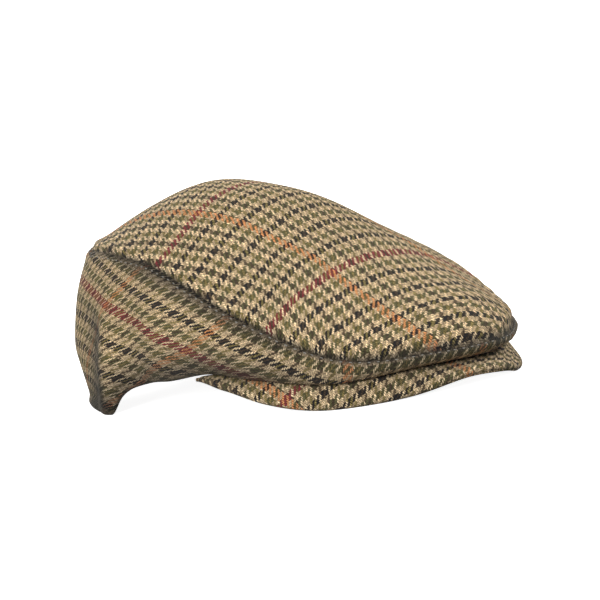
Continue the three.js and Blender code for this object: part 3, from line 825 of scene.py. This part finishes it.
def woollen_tweed():
    """Carded wool yarns about 0.9 mm thick in a two-and-two twill: matt, hairy, flecked.

    The front-to-back yarns stand out and catch the light; the crosswise ones lie deeper.
    """
    material, tree = new_material("woollen_tweed")
    place = add(tree, "ShaderNodeTexCoord").outputs["Object"]
    u, v = wandering_threads(tree, place)
    long_number = add(tree, MATH, {0: u}, operation="FLOOR")
    cross_number = add(tree, MATH, {0: v}, operation="FLOOR")
    u_part = add(tree, MATH, {0: u}, operation="FRACT")
    v_part = add(tree, MATH, {0: v}, operation="FRACT")
    long_up, height = twill_floats(tree, long_number, cross_number, u_part, v_part)
    long_yarn = yarn_order(tree, long_number, LONG_YARNS, RUST_COLOUR, RUST_YARNS)
    cross_yarn = yarn_order(tree, cross_number, CROSS_YARNS, RED_COLOUR, RED_YARNS)
    # beside a float the yarn under it shows, in the float's painted shade
    upper = add(tree, MIX, {0: long_up, 6: cross_yarn, 7: long_yarn}, data_type="RGBA").outputs[2]
    under = add(tree, MIX, {0: long_up, 6: long_yarn, 7: cross_yarn}, data_type="RGBA").outputs[2]
    low = add(tree, MIX, {0: long_up, 2: COVER_FROM[0], 3: COVER_FROM[1]})
    high = add(tree, MIX, {0: long_up, 2: COVER_TO[0], 3: COVER_TO[1]})
    cover = add(tree, "ShaderNodeMapRange", {0: height, 1: low, 2: high, 3: COVER_LEAST, 4: 1.0},
                interpolation_type="SMOOTHSTEP")
    colour = add(tree, MIX, {0: cover, 6: under, 7: upper}, data_type="RGBA").outputs[2]
    # flecks of other fibres, from noise that lies between about a quarter and three quarters,
    # and each yarn a little lighter or darker than the next
    fibres = add(tree, "ShaderNodeTexNoise", {"Vector": place, "Scale": FLECKS / MM, "Detail": 3.0})
    fleck = add(tree, "ShaderNodeMapRange",
                {0: fibres, 1: 0.25, 2: 0.75, 3: FLECK_TONES[0], 4: FLECK_TONES[1]})
    number = add(tree, MIX, {0: long_up, 2: cross_number, 3: long_number})
    dye = add(tree, "ShaderNodeTexWhiteNoise", {"W": number}, noise_dimensions="1D")
    dyed = add(tree, MATH, {0: dye, 1: DYE_SPREAD, 2: 1 - DYE_SPREAD / 2},
               operation="MULTIPLY_ADD")
    # painted shade between the yarns and a painted highlight on each float's crown
    shade = add(tree, "ShaderNodeMapRange",
                {0: height, 1: 0.0, 2: 0.9, 3: FLOAT_SHADE_AND_HIGHLIGHT[0], 4: FLOAT_SHADE_AND_HIGHLIGHT[1]})
    shaded = add(tree, MATH, {0: fleck, 1: shade}, operation="MULTIPLY")
    tone = add(tree, MATH, {0: shaded, 1: dyed}, operation="MULTIPLY")
    # painted shade: in a seam, under a fold, along the hem and on the peak the cloth is darker and
    # duller
    painted_shade = add(tree, "ShaderNodeAttribute", attribute_name="painted_shade").outputs["Fac"]
    open_share = add(tree, MATH, {0: painted_shade, 1: -PAINTED_SHADE_DARKENS, 2: 1.0}, operation="MULTIPLY_ADD")
    final_tone = add(tree, MATH, {0: tone, 1: open_share}, operation="MULTIPLY")
    strength = add(tree, MATH, {0: painted_shade, 1: -PAINTED_SHADE_DULLS, 2: 1.0}, operation="MULTIPLY_ADD")
    toned = add(tree, "ShaderNodeHueSaturation",
                {"Color": colour, "Saturation": strength, "Value": final_tone})
    hairs = add(tree, "ShaderNodeTexNoise", {"Vector": place, "Scale": HAIRS / MM, "Detail": 2.0})
    hairy = add(tree, MATH, {0: hairs, 1: 0.5, 2: height}, operation="MULTIPLY_ADD")
    bump = add(tree, "ShaderNodeBump",
               {"Height": hairy, "Strength": 0.7, "Distance": WEAVE_RELIEF * MM})
    wool = add(tree, "ShaderNodeBsdfPrincipled", {
        "Base Color": toned, "Normal": bump, "Roughness": 0.92, "Specular IOR Level": 0.2,
        "Sheen Weight": 0.05, "Sheen Roughness": 0.5, "Sheen Tint": linear("#F3E9D2")})
    add(tree, "ShaderNodeOutputMaterial", {"Surface": wool})
    return material


def sewing_thread():
    """Spun polyester thread, grey-beige: a faint sheen that shows as small light dots."""
    material, tree = new_material("sewing_thread")
    thread = add(tree, "ShaderNodeBsdfPrincipled", {
        "Base Color": linear("#86827A"), "Roughness": 0.6, "Specular IOR Level": 0.4})
    add(tree, "ShaderNodeOutputMaterial", {"Surface": thread})
    return material


def plain_floor():
    """White light table of a product studio: it glows a little, so the shadow stays pale."""
    material, tree = new_material("white_light_table")
    paper = add(tree, "ShaderNodeBsdfPrincipled", {
        "Base Color": linear("#F4F4F2"), "Roughness": 0.9, "Specular IOR Level": 0.1,
        "Emission Color": linear("#FFFFFF"), "Emission Strength": 0.93})
    add(tree, "ShaderNodeOutputMaterial", {"Surface": paper})
    return material


FLOOR_FLAT = 4.6       # metres of flat floor all round the cap
FLOOR_CURVE = 2.4      # radius in metres of its upward curve
FLOOR_STEPS = 18       # faces in that curve


def build_floor():
    """A wide paper floor whose far parts curve up all round, so no edge shows from any side."""
    mesh = bmesh.new()
    bmesh.ops.create_circle(mesh, cap_ends=True, segments=96, radius=FLOOR_FLAT)
    rim = list(mesh.edges)
    for step in range(1, FLOOR_STEPS + 1):
        turn = math.radians(90 * step / FLOOR_STEPS)
        out = bmesh.ops.extrude_edge_only(mesh, edges=rim)["geom"]
        rim = [g for g in out if isinstance(g, bmesh.types.BMEdge)]
        for vert in {v for e in rim for v in e.verts}:
            flat = Vector((vert.co.x, vert.co.y, 0)).normalized()
            reach = FLOOR_FLAT + FLOOR_CURVE * math.sin(turn)
            vert.co = (flat.x * reach, flat.y * reach, FLOOR_CURVE * (1 - math.cos(turn)))
    bmesh.ops.recalc_face_normals(mesh, faces=mesh.faces)
    data = bpy.data.meshes.new("studio_floor")
    mesh.to_mesh(data)
    mesh.free()
    data.materials.append(plain_floor())
    data.polygons.foreach_set("use_smooth", [True] * len(data.polygons))
    floor = bpy.data.objects.new("studio_floor", data)
    bpy.context.scene.collection.objects.link(floor)
    # the paper throws no light back up, so the cap's undersides stay as dark as in the photo
    floor.visible_diffuse = False


CAMERA_ANGLES = (-52.024, 5.703, 7.668)    # degrees from the front, above the table, and of roll
CAMERA_DISTANCE = 1.300    # metres from the middle of the cap
CAP_MIDDLE_HEIGHT = 0.060  # metres above the table
AIM_BELOW = 0.01233    # the camera points this many metres below that middle
SENSOR, LENS = 36.0, 137.78    # mm


def place_camera():
    """The photo's viewpoint: from the wearer's right front, a little above the table, rolled."""
    azimuth, elevation, roll = (math.radians(a) for a in CAMERA_ANGLES)
    toward = Vector((math.sin(azimuth) * math.cos(elevation),
                     -math.cos(azimuth) * math.cos(elevation), math.sin(elevation)))
    level = Vector((math.cos(azimuth), math.sin(azimuth), 0))
    up = toward.cross(level)
    tilted_up = level * math.sin(roll) + up * math.cos(roll)
    middle = Vector((0, HEAD_MIDDLE_Y * MM, CAP_MIDDLE_HEIGHT))
    place = middle + toward * CAMERA_DISTANCE
    back = (place - (middle - tilted_up * AIM_BELOW)).normalized()
    right = tilted_up.cross(back).normalized()
    turn = Matrix((right, back.cross(right), back)).transposed()
    data = bpy.data.cameras.new("camera")
    data.sensor_width = SENSOR
    data.lens = LENS
    camera = bpy.data.objects.new("camera", data)
    camera.matrix_world = Matrix.Translation(place) @ turn.to_4x4()
    bpy.context.scene.collection.objects.link(camera)
    bpy.context.scene.camera = camera


LAMP_HEIGHT = 0.05     # the softboxes face this point over the origin, in metres
LAMP_DISTANCE = 4.0    # from this far away
# name, degrees from the front, degrees above the table, metres across and watts
SOFTBOXES = (
    ("side_softbox", -74, 18, 1.3, 152),
    ("front_softbox", 64, 34, 1.8, 142),
    ("high_softbox", -76, 50, 1.8, 40),
    ("back_softbox", 145, 16, 1.3, 60),
)
ROOM_LIGHT = 0.03      # strength of the light that comes evenly from all round


def softbox(name, azimuth, elevation, size, power):
    """A square lamp that faces the cap from this direction; it isn't seen itself."""
    a, e = math.radians(azimuth), math.radians(elevation)
    away = Vector((math.sin(a) * math.cos(e), -math.cos(a) * math.cos(e), math.sin(e)))
    data = bpy.data.lights.new(name, "AREA")
    data.shape = "SQUARE"
    data.size = size
    data.energy = power
    light = bpy.data.objects.new(name, data)
    turn = away.to_track_quat("Z", "Y").to_matrix().to_4x4()
    place = Vector((0, 0, LAMP_HEIGHT)) + away * LAMP_DISTANCE
    light.matrix_world = Matrix.Translation(place) @ turn
    light.visible_camera = False
    bpy.context.scene.collection.objects.link(light)


def light_studio():
    scene = bpy.context.scene
    scene.view_settings.view_transform = "Standard"
    world = bpy.data.worlds.new("studio")
    world.use_nodes = True
    background = world.node_tree.nodes["Background"]
    background.inputs[0].default_value = linear("#FFFFFF")
    background.inputs[1].default_value = ROOM_LIGHT
    scene.world = world
    for lamp in SOFTBOXES:
        softbox(*lamp)


tweed = woollen_tweed()
build_top(tweed)
left = build_side("side_panel_left", "side_left", 1, tweed)
right = build_side("side_panel_right", "side_right", -1, tweed)
build_peak(tweed)
build_stitches((left, right), sewing_thread())
build_floor()
light_studio()
place_camera()
